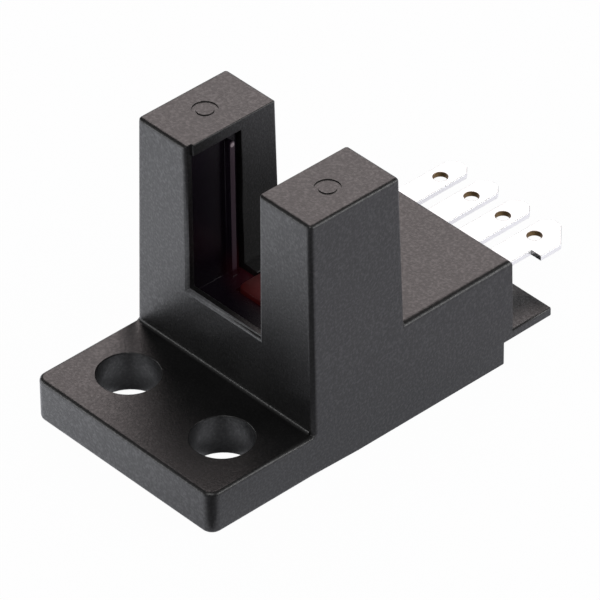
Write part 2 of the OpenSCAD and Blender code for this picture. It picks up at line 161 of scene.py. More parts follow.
class Shader:
    """The node tree of one material, or of the world, while it is made."""

    def __init__(self, owner: Owner) -> None:
        """Empties the tree of a new material or world.

        Args:
            owner: The material or the world.
        """
        self.owner = owner
        owner.use_nodes = True
        self.tree = owner.node_tree
        self.tree.nodes.clear()
        self._place: Wire | None = None

    @classmethod
    def named(cls, name: str) -> "Shader":
        """The tree of a new material of that name."""
        return cls(bpy.data.materials.new(name))

    def node(
        self,
        kind: str,
        settings: Mapping[str, object] | None = None,
        inputs: Mapping[str | int, Socket] | None = None,
        output: str | int = 0,
    ) -> Wire:
        """Adds a node, sets it up and links it.

        Args:
            kind: The node's type.
            settings: Its own properties, which are set first.
            inputs: A value or a link for each socket, by name or by number.
            output: The output to hand back.

        Returns:
            That output as a wire.
        """
        made = self.tree.nodes.new(kind)
        for key, value in (settings or {}).items():
            setattr(made, key, value)
        for key, value in (inputs or {}).items():
            if isinstance(value, Wire):
                self.tree.links.new(value.socket, made.inputs[key])
            else:
                made.inputs[key].default_value = value
        return Wire(self, made.outputs[output]) if len(made.outputs) else Wire(self, made.inputs[0])

    def math(self, operation: Maths, first: Number, second: Number = 0.0) -> Wire:
        """Adds a Math node.

        Args:
            operation: What it works out.
            first: Its first value.
            second: Its second value.

        Returns:
            The result.
        """
        return self.node("ShaderNodeMath", {"operation": operation.value}, {0: first, 1: second})

    def mix(self, share: Number, first: Socket, second: Socket) -> Wire:
        """Mixes two colours.

        Args:
            share: How much of the second colour shows.
            first: The first colour.
            second: The second colour.

        Returns:
            The mixed colour.
        """
        colours = {
            key: value if isinstance(value, Wire) else opaque(value)
            for key, value in ((6, first), (7, second))
        }
        return self.node("ShaderNodeMix", {"data_type": "RGBA"}, {0: share, **colours}, 2)

    def place(self) -> Wire:
        """The point on the piece in Object coordinates."""
        if self._place is None:
            self._place = self.node("ShaderNodeTexCoord", output="Object")
        return self._place

    def axis(self, letter: str) -> Wire:
        """One coordinate of the point on the piece, in metres."""
        return self.node("ShaderNodeSeparateXYZ", inputs={"Vector": self.place()}, output=letter)

    def distance(self, point: Vector, vector: Wire | None = None) -> Wire:
        """How far the point on the piece, or another vector, lies from a point, in metres."""
        settings = {"operation": "DISTANCE"}
        where = vector or self.place()
        return self.node("ShaderNodeVectorMath", settings, {0: where, 1: tuple(point)}, "Value")

    def stretched(self, scale: Sequence[float]) -> Wire:
        """The point on the piece with each axis scaled by itself."""
        return self.node("ShaderNodeMapping", inputs={"Vector": self.place(), "Scale": tuple(scale)})

    def noise(self, size: float, detail: float = 2.0, vector: Wire | None = None) -> Wire:
        """Noise between 0 and 1.

        Args:
            size: The width of one of its features.
            detail: How many finer layers it has.
            vector: Where it is read, on the piece itself if left out.

        Returns:
            The noise's value.
        """
        where = vector or self.place()
        return self.node(
            "ShaderNodeTexNoise", inputs={"Vector": where, "Scale": 1.0 / size, "Detail": detail}
        )

    def cells(self, size: float) -> Wire:
        """The distance to the nearest of many scattered points, from 0 to about 1."""
        return self.node(
            "ShaderNodeTexVoronoi",
            {"feature": "SMOOTH_F1"},
            {"Vector": self.place(), "Scale": 1.0 / size, "Smoothness": 0.6},
        )

    def seen(self) -> tuple[Wire, Wire]:
        """How a ray came: 1 if from the camera, and 1 if from a reflection or a clear piece."""
        camera, glossy, clear = (
            self.node("ShaderNodeLightPath", output=f"Is {kind} Ray")
            for kind in ("Camera", "Glossy", "Transmission")
        )
        return camera, glossy.largest(clear)

    def bump(self, height: Number, depth: float, strength: float = 1.0) -> Wire:
        """A normal that follows a height.

        Args:
            height: The height, from 0 to 1.
            depth: How far apart 0 and 1 lie.
            strength: How much of it shows.

        Returns:
            The bent normal.
        """
        return self.node(
            "ShaderNodeBump", inputs={"Height": height, "Distance": depth, "Strength": strength}
        )

    def finish(self, sockets: Mapping[str | int, Socket]) -> bpy.types.Material:
        """Ends the material with a Principled surface.

        Args:
            sockets: The surface's values and links.

        Returns:
            The finished material.
        """
        surface = self.node("ShaderNodeBsdfPrincipled", inputs=sockets)
        return self.shade(surface)

    def shade(self, surface: Wire) -> bpy.types.Material:
        """Links a surface to the material's output and hands the material back."""
        self.node("ShaderNodeOutputMaterial", inputs={"Surface": surface})
        return self.owner


def opaque(colour: Colour) -> tuple[float, float, float, float]:
    """A colour with full cover, as a socket takes it."""
    return (*colour, 1.0)


def darker(colour: Colour, share: float) -> Colour:
    """A colour brought down to a share of itself."""
    return tuple(share * part for part in colour)


def placed(name: str, mesh: bpy.types.Mesh) -> bpy.types.Object:
    """Puts a mesh into the scene as an object at the origin."""
    piece = bpy.data.objects.new(name, mesh)
    bpy.context.scene.collection.objects.link(piece)
    return piece


def middle_of(node: str) -> Vector:
    """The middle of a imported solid's box."""
    return 0.5 * sum(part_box(node), Vector())


def top_of(node: str) -> Vector:
    """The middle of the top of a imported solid's box."""
    low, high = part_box(node)
    return Vector((0.5 * (low.x + high.x), 0.5 * (low.y + high.y), high.z))


class Finish(ABC):
    """A surface finish that can make its own material."""

    @abstractmethod
    def make(self) -> bpy.types.Material:
        """Makes the material."""


@dataclass(frozen=True)
class GrainedPlastic(Finish):
    """Black moulding compound with the fine grain of a spark-eroded mould."""

    name: str
    colour: Colour = (0.003, 0.003, 0.0031)
    pale: Colour = (0.006, 0.0059, 0.006)
    roughness: float = 0.39
    grain: float = 0.13 * MM
    grain_depth: float = 0.01 * MM
    speck: float = 0.28
    speck_limits: tuple[float, float] = (0.42, 0.72)
    speck_roughness: float = 0.3
    speck_index: float = 1.6
    cloud: float = 2.6 * MM
    cloud_limits: tuple[float, float] = (0.3, 0.75)
    index: float = 1.52

    def make(self) -> bpy.types.Material:
        """Grain as cells and noise in the bump, with slow clouds in colour and gloss."""
        shader = Shader.named(self.name)
        cloud = shader.noise(self.cloud, 3.0)
        grain = shader.cells(self.grain) * 0.6 + shader.noise(self.grain * 0.6, 1.0) * 0.4
        specks = shader.noise(self.grain * 1.2, 2.0).step(*self.speck_limits)
        return shader.finish({
            "Base Color": shader.mix(cloud.step(*self.cloud_limits), self.colour, self.pale),
            "Roughness": self.roughness + (cloud - 0.5) * 0.04 + (grain - 0.4) * 0.1,
            "IOR": self.index,
            "Coat Weight": specks * self.speck,
            "Coat Roughness": self.speck_roughness,
            "Coat IOR": self.speck_index,
            "Normal": shader.bump(grain, self.grain_depth),
        })


@dataclass(frozen=True)
class FilterPlastic(Finish):
    """Glossy plastic so dark a red that it looks black, which lets infrared through."""

    name: str
    lamp: Vector
    rib_end: Vector
    reach: float = 2.6 * MM
    behind: Vector = Vector((0.0, 0.5 * MM, 0.0))
    spread: float = 0.6
    colour: Colour = (0.0044, 0.0029, 0.006)
    warm: Colour = (0.0056, 0.0028, 0.0054)
    # painted sheen: paler colour on the rib ends, standing in for the light they catch
    painted_sheen: Colour = (0.044, 0.029, 0.039)
    # painted glint: a pale round spot at the top of each rib end, standing in for a highlight
    painted_glint: Colour = (0.3, 0.25, 0.27)
    painted_glint_r: float = 0.16 * MM
    painted_sheen_width: float = 0.06 * MM
    painted_sheen_rise: float = 0.3 * MM
    ripple_depth: float = 0.004 * MM
    glow: Colour = (0.02, 0.0013, 0.002)
    roughness: float = 0.27
    flow: float = 1.4 * MM
    index: float = 1.33

    def make(self) -> bpy.types.Material:
        """Faint upright flow lines, and red light that spreads from the lens and fades with distance.

        The ends of the ribs, where the distance from the middle plane is least, are paler with painted
        sheen above the lens's height, and carry a round painted glint at the top of each.

        Returns:
            The material.
        """
        shader = Shader.named(self.name)
        flow = shader.noise(self.flow, 2.0, shader.stretched((1.0, 1.0, 0.2)))
        ripple = shader.noise(self.flow * 0.5, 1.0)
        spread = shader.stretched((self.spread, 1.0, 1.0))
        distance = shader.distance(self.lamp + self.behind, spread)
        inward = abs(shader.axis("X")).step(self.rib_end.x + self.painted_sheen_width, self.rib_end.x)
        # painted sheen on the rib ends above the lens's height
        painted_sheen_mask = inward * shader.axis("Z").step(self.lamp.z, self.lamp.z + self.painted_sheen_rise)
        along, up = shader.axis("Y") - self.rib_end.y, shader.axis("Z") - self.rib_end.z
        # painted glint at the top of each rib end
        painted_glint_mask = inward * (along * along + up * up).root().step(self.painted_glint_r, 0.6 * self.painted_glint_r)
        plain = shader.mix(painted_sheen_mask, shader.mix(flow, self.colour, self.warm), self.painted_sheen)
        return shader.finish({
            "Base Color": shader.mix(painted_glint_mask, plain, self.painted_glint),
            "Roughness": self.roughness + (flow - 0.5) * 0.1,
            "IOR": self.index,
            "Emission Color": shader.mix(distance.step(self.reach, 0.0), (0.0, 0.0, 0.0), self.glow),
            "Emission Strength": 1.0,
            "Normal": shader.bump(ripple, self.ripple_depth),
        })


@dataclass(frozen=True)
class IndicatorPlastic(Finish):
    """Red lens plastic with a painted glow, lighter red over the light pipe in its middle."""

    name: str
    centre: Vector
    reach: float
    colour: Colour = (0.055, 0.005, 0.005)
    # painted glow: lighter red and emission over the lens's middle, standing in for light through the
    # pipe
    bright: Colour = (0.105, 0.009, 0.009)
    glow: float = 0.05
    haze_size: float = 0.25 * MM
    haze_depth: float = 0.004 * MM
    roughness: float = 0.35

    def make(self) -> bpy.types.Material:
        """A soft painted glow round the lens's middle, in lighter red and in emission, with fine haze in
        the gloss.
        """
        shader = Shader.named(self.name)
        # pool of painted glow round the lens's middle
        glow_pool = shader.distance(self.centre).step(self.reach, 0.0)
        haze = shader.noise(self.haze_size)
        return shader.finish({
            "Base Color": shader.mix(glow_pool, self.colour, self.bright),
            "Roughness": self.roughness + (haze - 0.5) * 0.15,
            "Emission Color": shader.mix(glow_pool, (0.0, 0.0, 0.0), self.bright),
            "Emission Strength": self.glow,
            "Normal": shader.bump(haze, self.haze_depth),
        })


@dataclass(frozen=True)
class TinPlate(Finish):
    """Bright tin on stamped brass, with bare brass in the punched holes."""

    name: str
    pitch: float
    hole_y: float
    hole_r: float
    tin: Colour = (0.5, 0.535, 0.54)
    cloudy: Colour = (0.46, 0.495, 0.5)
    bright: Colour = (0.92, 0.92, 0.91)
    brass: Colour = (0.2, 0.13, 0.06)
    roughness: float = 0.3
    rim: float = 0.05 * MM
    streak_size: float = 0.12 * MM
    streak_depth: float = 0.002 * MM
    cloud_size: float = 0.9 * MM
    cloud_limits: tuple[float, float] = (0.35, 0.7)
    upright_limits: tuple[float, float] = (0.9, 0.3)

    def make(self) -> bpy.types.Material:
        """Rolling streaks, bright sheared edges, and brass where the distance to a hole is its radius."""
        shader = Shader.named(self.name)
        streak = shader.noise(self.streak_size, 2.0, shader.stretched((1.0, 0.05, 1.0)))
        cloud = shader.noise(self.cloud_size)
        turn = (shader.axis("X") / self.pitch + 2.0).fraction()
        across = (turn - 0.5) * self.pitch
        along = shader.axis("Y") - self.hole_y
        distance = (across * across + along * along).root()
        punched = distance.step(self.hole_r + self.rim, self.hole_r)
        normal = shader.node("ShaderNodeNewGeometry", output="Normal")
        rise = shader.node("ShaderNodeSeparateXYZ", inputs={"Vector": normal}, output="Z")
        upright = abs(rise).step(*self.upright_limits)
        plate = shader.mix(cloud.step(*self.cloud_limits), self.tin, self.cloudy)
        sheared = shader.mix(upright, plate, self.bright)
        return shader.finish({
            "Base Color": shader.mix(punched, sheared, self.brass),
            "Metallic": 1.0,
            "Roughness": self.roughness + (streak - 0.5) * 0.16 + punched * 0.2,
            "Normal": shader.bump(streak, self.streak_depth, 0.5),
        })


@dataclass(frozen=True)
class DrawnMetal(Finish):
    """Tinned lead or solder, with soft clouds in its gloss."""

    name: str
    colour: Colour
    roughness: float
    cloud: float = 0.3 * MM
    peel_depth: float = 0.004 * MM

    def make(self) -> bpy.types.Material:
        """Cloudy metal with a slight orange-peel bump."""
        shader = Shader.named(self.name)
        cloud = shader.noise(self.cloud)
        return shader.finish({
            "Base Color": shader.mix(cloud, self.colour, darker(self.colour, 0.85)),
            "Metallic": 1.0,
            "Roughness": self.roughness + (cloud - 0.5) * 0.2,
            "Normal": shader.bump(cloud, self.peel_depth),
        })


@dataclass(frozen=True)
class SolderMask(Finish):
    """Green board lacquer over printed conductors, with bare glass fibre at the edges."""

    name: str
    low: Vector
    high: Vector
    lacquer: Colour = (0.012, 0.11, 0.04)
    over_copper: Colour = (0.03, 0.2, 0.07)
    fibre: Colour = (0.42, 0.4, 0.2)
    track_pitch: float = 1.27 * MM
    track_width: float = 0.3 * MM
    track_height: float = 0.02 * MM
    wander_size: float = 4.0 * MM
    weave_size: float = 0.2 * MM
    face_shares: tuple[float, float] = (0.46, 0.49)

    def make(self) -> bpy.types.Material:
        """Parallel tracks wherever the distance to the nearest one is under half its width."""
        shader = Shader.named(self.name)
        wander = (shader.noise(self.wander_size, 0.0) - 0.5) * (2.0 * self.track_pitch)
        turn = ((shader.axis("X") + wander) / self.track_pitch).fraction()
        nearest = abs(turn - 0.5) * self.track_pitch
        track = nearest.step(0.6 * self.track_width, 0.5 * self.track_width)
        middle = 0.5 * (self.low.z + self.high.z)
        limits = (share * (self.high.z - self.low.z) for share in self.face_shares)
        on_face = abs(shader.axis("Z") - middle).step(*limits)
        face = shader.mix(track, self.lacquer, self.over_copper)
        weave = shader.cells(self.weave_size)
        return shader.finish({
            "Base Color": shader.mix(1.0 - on_face, face, self.fibre),
            "Roughness": 0.75 - on_face * 0.45 + (weave - 0.5) * 0.08,
            "Normal": shader.bump(track * on_face, self.track_height),
        })


@dataclass(frozen=True)
class Resin(Finish):
    """Moulded resin, clear or black, with slight streaks."""

    name: str
    colour: Colour
    roughness: float
    clear: float = 0.0
    streak_size: float = 0.5 * MM
    streak_depth: float = 0.003 * MM

    def make(self) -> bpy.types.Material:
        """Streaks in colour and gloss; a clear resin also lets light through."""
        shader = Shader.named(self.name)
        streak = shader.noise(self.streak_size, 2.0, shader.stretched((1.0, 1.0, 0.3)))
        return shader.finish({
            "Base Color": shader.mix(streak, self.colour, darker(self.colour, 0.7)),
            "Roughness": self.roughness + (streak - 0.5) * 0.1,
            "Transmission Weight": self.clear,
            "Normal": shader.bump(streak, self.streak_depth),
        })


@dataclass(frozen=True)
class ChipCeramic(Finish):
    """A chip's ceramic body with tinned caps at its two ends along X."""

    name: str
    low: Vector
    high: Vector
    body: Colour
    cap: Colour = (0.7, 0.7, 0.69)
    cap_share: float = 0.2
    speckle_size: float = 0.06 * MM
    speckle_depth: float = 0.004 * MM

    def make(self) -> bpy.types.Material:
        """Metal wherever the distance from the chip's middle is over the body's half length."""
        shader = Shader.named(self.name)
        middle = 0.5 * (self.low.x + self.high.x)
        half = 0.5 * (self.high.x - self.low.x)
        edge = half * (1.0 - 2.0 * self.cap_share)
        cap = abs(shader.axis("X") - middle).step(edge, edge * 1.04)
        speckle = shader.noise(self.speckle_size)
        body = shader.mix(speckle, self.body, darker(self.body, 0.75))
        return shader.finish({
            "Base Color": shader.mix(cap, body, self.cap),
            "Metallic": cap,
            "Roughness": 0.4 + (speckle - 0.5) * 0.2,
            "Normal": shader.bump(speckle, self.speckle_depth),
        })


Weight = Callable[[np.ndarray], np.ndarray]


@dataclass(frozen=True)
class RoundedCopy:
    """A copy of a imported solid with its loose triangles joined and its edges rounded."""

    node: str
    name: str
    slot: str
    radius: float
    segments: int = 3
    valley: float = 1.0
    cuts: tuple[tuple[int, float], ...] = ()
    sharp_deg: float = 22.0
    flat_deg: float = 0.3
    join: float = 1e-7

    def build(self, finish: Finish, weight: Weight | None = None) -> bpy.types.Object:
        """Makes the copy, dresses it and lets it stand for the solid.

        Args:
            finish: The finish of the whole piece.
            weight: Gives the share of the radius at each edge's middle, 1 everywhere if left out.

        Returns:
            The new piece.
        """
        mesh = frame["nodes"][self.node].data.copy()
        mesh.name = self.name
        self._join(mesh, weight)
        mesh.materials.clear()
        mesh.materials.append(finish.make())
        piece = placed(self.name, mesh)
        bevel = piece.modifiers.new("rounded_edges", "BEVEL")
        bevel.width = self.radius
        bevel.segments = self.segments
        bevel.limit_method = "WEIGHT"
        bevel.use_clamp_overlap = False
        bevel.loop_slide = False
        bevel.harden_normals = True
        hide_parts(self.node)
        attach(piece, BODY)
        LOG.info("%s: rounded by %.2f mm in place of %s", self.name, self.radius / MM, self.node)
        return piece

    def _join(self, mesh: bpy.types.Mesh, weight: Weight | None) -> None:
        """Joins the triangles into flat faces, smooths them and weighs the edges.

        Args:
            mesh: The copied mesh, which is changed.
            weight: As build takes it.
        """
        work = bmesh.new()
        work.from_mesh(mesh)
        bmesh.ops.remove_doubles(work, verts=work.verts, dist=self.join)
        bmesh.ops.dissolve_limit(
            work, angle_limit=math.radians(self.flat_deg), verts=work.verts, edges=work.edges
        )
        for axis, place in self.cuts:
            self._cut(work, axis, place)
        layer = work.edges.layers.float.get("bevel_weight_edge")
        layer = layer or work.edges.layers.float.new("bevel_weight_edge")
        edges = [edge for edge in work.edges if len(edge.link_faces) == 2]
        angles = np.array([edge.calc_face_angle(0.0) for edge in edges])
        middles = np.array([0.5 * (edge.verts[0].co + edge.verts[1].co) for edge in edges])
        share = np.ones(len(edges)) if weight is None else weight(middles)
        share = np.where(angles > math.radians(self.sharp_deg), share, 0.0)
        share = np.where([edge.is_convex for edge in edges], share, np.minimum(share, self.valley))
        for edge, value, angle in zip(edges, share.tolist(), angles.tolist()):
            edge[layer] = value
            edge.smooth = angle < math.radians(self.sharp_deg)
        for face in work.faces:
            face.smooth = True
        work.to_mesh(mesh)
        work.free()

    def _cut(self, work: bmesh.types.BMesh, axis: int, place: float) -> None:
        """Cuts the faces along a plane, so that no slanting edge bridges to a hole or to the fork's foot.

        Args:
            work: The mesh, which is changed.
            axis: The axis that the plane is square to, 0 for X, 1 for Y or 2 for Z.
            place: The plane's place on that axis.
        """
        normal, point = Vector(), Vector()
        normal[axis], point[axis] = 1.0, place
        everything = work.verts[:] + work.edges[:] + work.faces[:]
        bmesh.ops.bisect_plane(work, geom=everything, dist=self.join, plane_co=point, plane_no=normal)
        bridges = [
            edge
            for edge in work.edges
            if len(edge.link_faces) == 2
            and edge.calc_face_angle(1.0) < math.radians(self.flat_deg)
            and not any(self._lies(edge, cut, spot) for cut, spot in self.cuts)
        ]
        bmesh.ops.dissolve_edges(work, edges=bridges, use_verts=False)

    def _lies(self, edge: bmesh.types.BMEdge, axis: int, place: float) -> bool:
        """Whether an edge lies in a plane square to an axis."""
        return all(abs(end.co[axis] - place) < 10.0 * self.join for end in edge.verts)


def ring_mesh(name: str, grid: np.ndarray, footed: bool = True) -> bpy.types.Mesh:
    """A smooth mesh from rings of points, with a face over the last ring and perhaps the first.

    Args:
        name: The mesh's name.
        grid: The points by ring and by place on the ring, from the lowest ring to the highest.
        footed: Whether a face closes the first ring.

    Returns:
        The mesh, with its faces outwards where the rings run anticlockwise.
    """
    rings, sides = grid.shape[:2]
    here = np.arange(sides)
    after = np.roll(here, -1)
    first = np.arange(rings - 1)[:, None] * sides
    bands = np.stack([first + here, first + after, first + sides + after, first + sides + here], axis=-1)
    ends = [((rings - 1) * sides + here).tolist()] + ([here[::-1].tolist()] if footed else [])
    mesh = bpy.data.meshes.new(name)
    mesh.from_pydata(grid.reshape(-1, 3).tolist(), [], bands.reshape(-1, 4).tolist() + ends)
    mesh.shade_smooth()
    mesh.set_sharp_from_angle(angle=math.radians(CREASE_DEG))
    return mesh


def within(points: np.ndarray, low: Sequence[float], high: Sequence[float]) -> np.ndarray:
    """Which points lie inside a box.

    Args:
        points: One point a row.
        low: The box's lowest corner.
        high: The box's highest corner.

    Returns:
        True for each point inside.
    """
    return np.all((points > np.asarray(low)) & (points < np.asarray(high)), axis=1)


@dataclass
class CaseShell:
    """The moulded case: flange, fork, body and guide shelf, with soft moulded edges."""

    radius: float = 0.32 * MM
    margin: float = 0.26 * MM
    main_share: float = 0.7
    slot_share: float = 0.2
    shelf_share: float = 0.34
    hole_reach: float = 2.5 * MM
    hole_share: float = 0.17
    mark_reach: float = 0.85 * MM
    arm_inset: float = 0.55 * MM
    fine_share: float = 0.14
    shelf_top: float = 1.9 * MM
    rear_face: float = 17.35 * MM
    flange_top: float = 2.6 * MM
    fork_front: float = 3.35 * MM
    fork_rear: float = 9.8 * MM
    foot_gap: float = 0.04 * MM
    fillet_radius: float = 0.18 * MM
    fillet_sink: float = 0.5
    fillet_steps: int = 9
    fillet_stations: int = 33
    valley_share: float = 0.0

    def share(self, points: np.ndarray) -> np.ndarray:
        """The share of the edge radius at places on the case.

        Edges of the closed hollow and of the axis marks stay sharp; those round the holes, the window
        opening, the terminals, the guide shelf and the base cover are finer than the rest.

        Args:
            points: The middles of the edges, one a row.

        Returns:
            A share from 0 to 1 for each.
        """
        gap = self.margin
        filter_low, filter_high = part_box("slot_filter")
        board_low, board_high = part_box("circuit_board")
        cover_low, cover_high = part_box("base_cover")
        row_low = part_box("ground_terminal")[0]
        body_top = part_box("indicator_lens")[1].z
        case_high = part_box("housing")[1]
        rear = cover_high.y + gap
        folded = np.abs(points) * (1.0, 0.0, 0.0) + points * (0.0, 1.0, 1.0)
        share = np.full(len(points), self.main_share)
        spacing = frame["record"]["mounts"][0]["dims"]["spacing_x_mm"] * MM
        at_hole = np.hypot(folded[:, 0] - 0.5 * spacing, points[:, 1]) < self.hole_reach
        share[at_hole & (points[:, 2] < board_high.z)] = self.hole_share
        wide = 2.0 * case_high.x
        upright = within(
            folded,
            (0.9 * case_high.x, filter_low.y - 4.0 * gap, board_high.z + gap),
            (wide, filter_low.y - gap, case_high.z - gap),
        )
        side_top = (folded[:, 0] > 0.95 * case_high.x) & (np.abs(points[:, 2] - body_top) < gap)
        share[upright | side_top] = 1.0
        share[(folded[:, 0] < filter_high.x) & (points[:, 2] > case_high.z - gap)] = self.slot_share
        fine = [
            ((-wide, rear, -gap), (wide, case_high.y + gap, row_low.z)),
            ((-wide, rear, row_low.z), (wide, case_high.y + gap, filter_low.z - gap)),
            (
                (-wide, filter_low.y - 0.5 * gap, filter_low.z),
                (wide, filter_high.y - gap, filter_high.z + gap),
            ),
            (
                (-wide, filter_low.y - 1.2 * gap, filter_high.z),
                (wide, filter_low.y + gap, case_high.z + gap),
            ),
            ((-wide, cover_low.y - gap, -gap), (wide, rear + gap, 0.1 * gap)),
        ]
        for low, high in fine:
            share[within(points, low, high)] = self.fine_share
        at_shelf = np.abs(points[:, 2] - self.shelf_top) < 0.4 * gap
        share[at_shelf & (points[:, 1] > self.rear_face + 0.4 * gap)] = self.shelf_share
        receiver_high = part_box("receiver")[1]
        at_tip = np.abs(points[:, 2] - case_high.z) < self.mark_reach
        inside_tip = (folded[:, 0] > filter_high.x - 1.5 * gap) & (folded[:, 0] < receiver_high.x)
        near_axis = np.abs(points[:, 1] - middle_of("receiver").y) < self.mark_reach
        share[at_tip & inside_tip & near_axis] = 0.0
        hollow = within(
            points,
            (board_low.x - gap, board_low.y - gap, 0.1 * gap),
            (board_high.x + gap, board_high.y + gap, filter_low.z + 2.4 * gap),
        )
        arms = within(
            folded,
            (filter_high.x - self.arm_inset, filter_low.y - 0.5 * gap, board_high.z),
            (receiver_high.x + gap, filter_high.y + 0.5 * gap, filter_high.z + 0.5 * gap),
        )
        share[hollow | arms] = 0.0
        return share

    def build(self) -> list[bpy.types.Object]:
        """Builds the case in its grained black plastic, with the rounding at the fork's foot."""
        cuts = (
            (1, 0.0),
            (1, middle_of("receiver").y),
            (1, self.fork_front - self.foot_gap),
            (1, self.fork_rear + self.foot_gap),
            (2, self.flange_top + self.foot_gap),
        )
        copy = RoundedCopy(
            "housing", "case_shell", "case", self.radius, valley=self.valley_share, cuts=cuts
        )
        shell = copy.build(GrainedPlastic("case_black_grain"), self.share)
        return [shell, self.fillet(shell.data.materials[0])]

    def fillet(self, finish: bpy.types.Material) -> bpy.types.Object:
        """The hollow rounding in the corner between the flange's top and the fork's front.

        The surface is a section carried along X. The section's rim is a quarter circle whose centre lies
        one radius in front of and above the corner, and the rim closes through the corner, a little
        inside the plastic.

        Args:
            finish: The case's own material.

        Returns:
            The rounding.
        """
        size, sink = self.fillet_radius, self.fillet_sink * self.fillet_radius
        turn = np.linspace(0.5 * math.pi, 0.0, self.fillet_steps)
        front = np.append(self.fork_front - size + size * np.sin(turn), self.fork_front + sink)
        rise = np.append(self.flange_top + size - size * np.cos(turn), self.flange_top - sink)
        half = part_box("housing")[1].x - self.radius
        across = np.linspace(-half, half, self.fillet_stations)
        grid = np.stack(np.broadcast_arrays(across[:, None], front, rise), axis=-1)
        mesh = ring_mesh("fork_foot_fillet", grid)
        mesh.materials.append(finish)
        piece = placed("fork_foot_fillet", mesh)
        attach(piece, BODY)
        LOG.info("fork_foot_fillet: radius %.2f mm", size / MM)
        return piece


@dataclass
class LensBody:
    """The red lens with its crowned face, its seat flange and the light pipe below it."""

    sides: int = 72
    power: float = 7.0
    crown: float = 0.05 * MM
    edge: float = 0.1 * MM
    pipe: float = 0.6 * MM
    flange: float = 0.4 * MM
    flange_top: float = 1.35 * MM
    flange_height: float = 0.4 * MM
    edge_rings: int = 6
    crown_rings: int = 8
    crown_shares: tuple[float, float] = (0.9, 0.02)
    core_share: float = 0.02
    # reach of the lens's painted glow
    glow_pool: float = 1.6 * MM

    def stations(self, low: Vector, high: Vector) -> np.ndarray:
        """The profile from the pipe's foot to the top, as half width, half length and height.

        Args:
            low: The lowest corner of the lens's solid.
            high: The highest corner of the lens's solid.

        Returns:
            One row for each ring of the surface.
        """
        half_x = 0.5 * (high.x - low.x) - self.flange
        half_y = 0.5 * (high.y - low.y) - self.flange
        top = high.z - self.crown
        seat = high.z - self.flange_top
        foot = seat - self.flange_height
        turn = np.linspace(0.0, 0.5 * math.pi, self.edge_rings)
        inset = self.edge * (1.0 - np.cos(turn))
        lift = top - self.edge + self.edge * np.sin(turn)
        rim = np.stack([half_x - inset, half_y - inset, lift], axis=1)
        share = np.linspace(*self.crown_shares, self.crown_rings)
        flat = np.array([half_x - self.edge, half_y - self.edge])
        cap = np.column_stack([share[:, None] * flat, top + self.crown * (1.0 - share**2)])
        core = self.core_share * self.pipe
        below = np.array([
            [core, core, low.z],
            [self.pipe, self.pipe, low.z],
            [self.pipe, self.pipe, foot],
            [half_x + self.flange, half_y + self.flange, foot],
            [half_x + self.flange, half_y + self.flange, seat],
            [half_x, half_y, seat],
        ])
        return np.vstack([below, rim, cap])

    def build(self) -> bpy.types.Object:
        """Carries the profile round a rounded rectangle.

        A ring's point at angle t is the half width times the signed cosine of t to the power 2 / p,
        and the half length times the signed sine of t to that power, with p high for square corners.

        Returns:
            The lens.
        """
        low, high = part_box("indicator_lens")
        middle = 0.5 * (low + high)
        rows = self.stations(low, high)
        turn = np.arange(self.sides) * (2.0 * math.pi / self.sides)
        round_x = np.sign(np.cos(turn)) * np.abs(np.cos(turn)) ** (2.0 / self.power)
        round_y = np.sign(np.sin(turn)) * np.abs(np.sin(turn)) ** (2.0 / self.power)
        grid = np.stack(
            [
                middle.x + rows[:, 0, None] * round_x,
                middle.y + rows[:, 1, None] * round_y,
                rows[:, 2, None] + 0.0 * turn,
            ],
            axis=-1,
        )
        mesh = ring_mesh("red_lens", grid)
        mesh.materials.append(IndicatorPlastic("lens_red", top_of("indicator_lens"), self.glow_pool).make())
        piece = placed("red_lens", mesh)
        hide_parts("indicator_lens")
        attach(piece, BODY)
        LOG.info("red_lens: %d rings of %d points", *grid.shape[:2])
        return piece


@dataclass
class Closures:
    """The base cover, the slot's filter and the red indicator lens."""

    cover_radius: float = 0.06 * MM
    cover_roughness: float = 0.42
    cover_cloud: float = 4.0 * MM
    filter_radius: float = 0.03 * MM
    rib_gap: float = 5.0 * MM
    painted_glint_drop: float = 0.4 * MM

    def build(self) -> list[bpy.types.Object]:
        """Builds the three pieces."""
        cover = RoundedCopy("base_cover", "underside_cover", "cover", self.cover_radius)
        window = RoundedCopy("slot_filter", "slot_window", "filter", self.filter_radius)
        black = GrainedPlastic(
            "cover_black_grain", roughness=self.cover_roughness, cloud=self.cover_cloud
        )
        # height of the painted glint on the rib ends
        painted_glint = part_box("slot_filter")[1].z - self.painted_glint_drop
        rib_end = Vector((0.5 * self.rib_gap, middle_of("receiver").y, painted_glint))
        return [
            cover.build(black),
            window.build(FilterPlastic("filter_dark_red", top_of("indicator_lens"), rib_end)),
            LensBody().build(),
        ]


@dataclass
class TerminalRow:
    """The four flat terminals, stamped from tinned brass."""

    radius: float = 0.2 * MM
    edge_share: float = 0.2
    tip: float = 0.8 * MM
    level: float = 0.05 * MM
    segments: int = 2
    names: tuple[str, ...] = ("ground_terminal", "output_terminal", "mode_terminal", "supply_terminal")

    def share(self, points: np.ndarray) -> np.ndarray:
        """The share of the edge radius at places on a terminal: full at the upright edges of its tip.

        Args:
            points: The middles of the edges, one a row.

        Returns:
            A share from 0 to 1 for each.
        """
        tip_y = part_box(self.names[0])[1].y
        upright = np.abs(points[:, 2] - self.bores()[0]["pos_m"][2]) < self.level
        return np.where(upright & (points[:, 1] > tip_y - self.tip), 1.0, self.edge_share)

    @staticmethod
    def bores() -> list[dict]:
        """The wire holes, as the record lists them."""
        return [mount for mount in frame["record"]["mounts"] if mount["kind"] == "bore"]

    def build(self) -> list[bpy.types.Object]:
        """Builds the terminals with softly rolled edges and rounded tips."""
        bores = self.bores()
        xs = sorted(mount["pos_m"][0] for mount in bores)
        finish = TinPlate(
            "terminal_tin",
            pitch=xs[1] - xs[0],
            hole_y=bores[0]["pos_m"][1],
            hole_r=bores[0]["dims"]["r_mm"] * MM,
        )
        return [
            RoundedCopy(name, f"{name}_strip", "terminals", self.radius, self.segments).build(
                finish, self.share
            )
            for name in self.names
        ]


